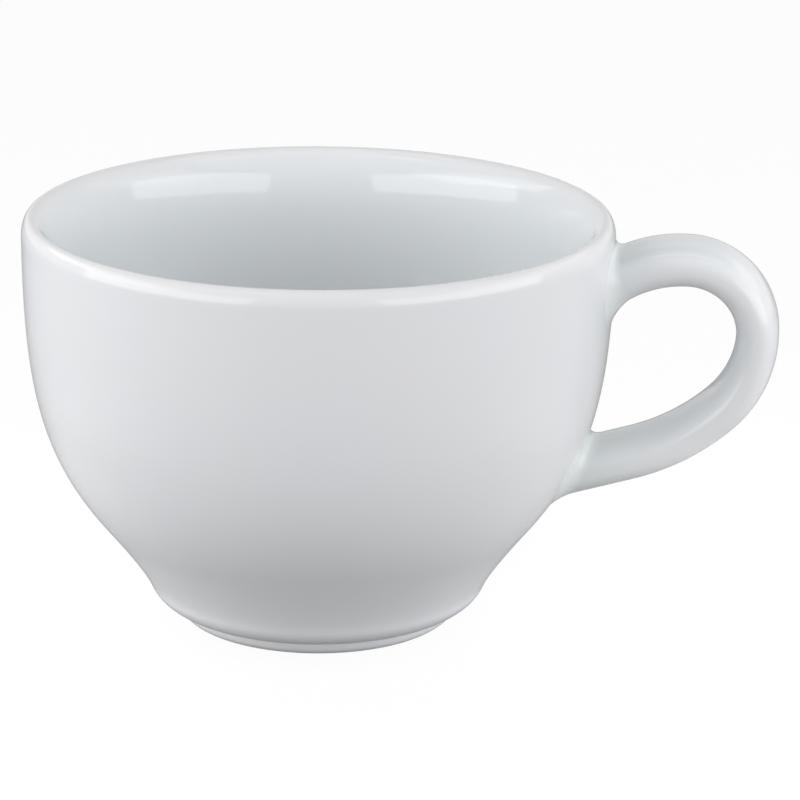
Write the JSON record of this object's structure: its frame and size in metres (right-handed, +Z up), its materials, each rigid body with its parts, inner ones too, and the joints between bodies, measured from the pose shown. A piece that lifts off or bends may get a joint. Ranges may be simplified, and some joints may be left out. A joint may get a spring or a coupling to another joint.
{
  "type": "tea cup",
  "caption": "White porcelain tea cup with an upright wall, rounded belly, waisted base on a low foot ring and a looped finger handle, for hot drinks.",
  "frame": {"origin": "on the bowl's axis, in the plane of the foot ring's resting face", "axes": "+Z up along the bowl's axis, +X towards the handle"},
  "size_m": [0.1176, 0.092, 0.065],
  "materials": {
    "glazed_bowl": "clear gloss glaze on white porcelain",
    "glazed_handle": "clear gloss glaze on white porcelain",
    "slip": "fired slip under pooled gloss glaze",
    "foot": "glazed sides and a bare, polished resting face"
  },
  "bodies": {
    "root": {"bowl": "glazed_bowl", "foot_ring": "foot", "handle": "glazed_handle", "upper_slip_joint": "slip", "lower_slip_joint": "slip"}
  },
  "joints": []
}
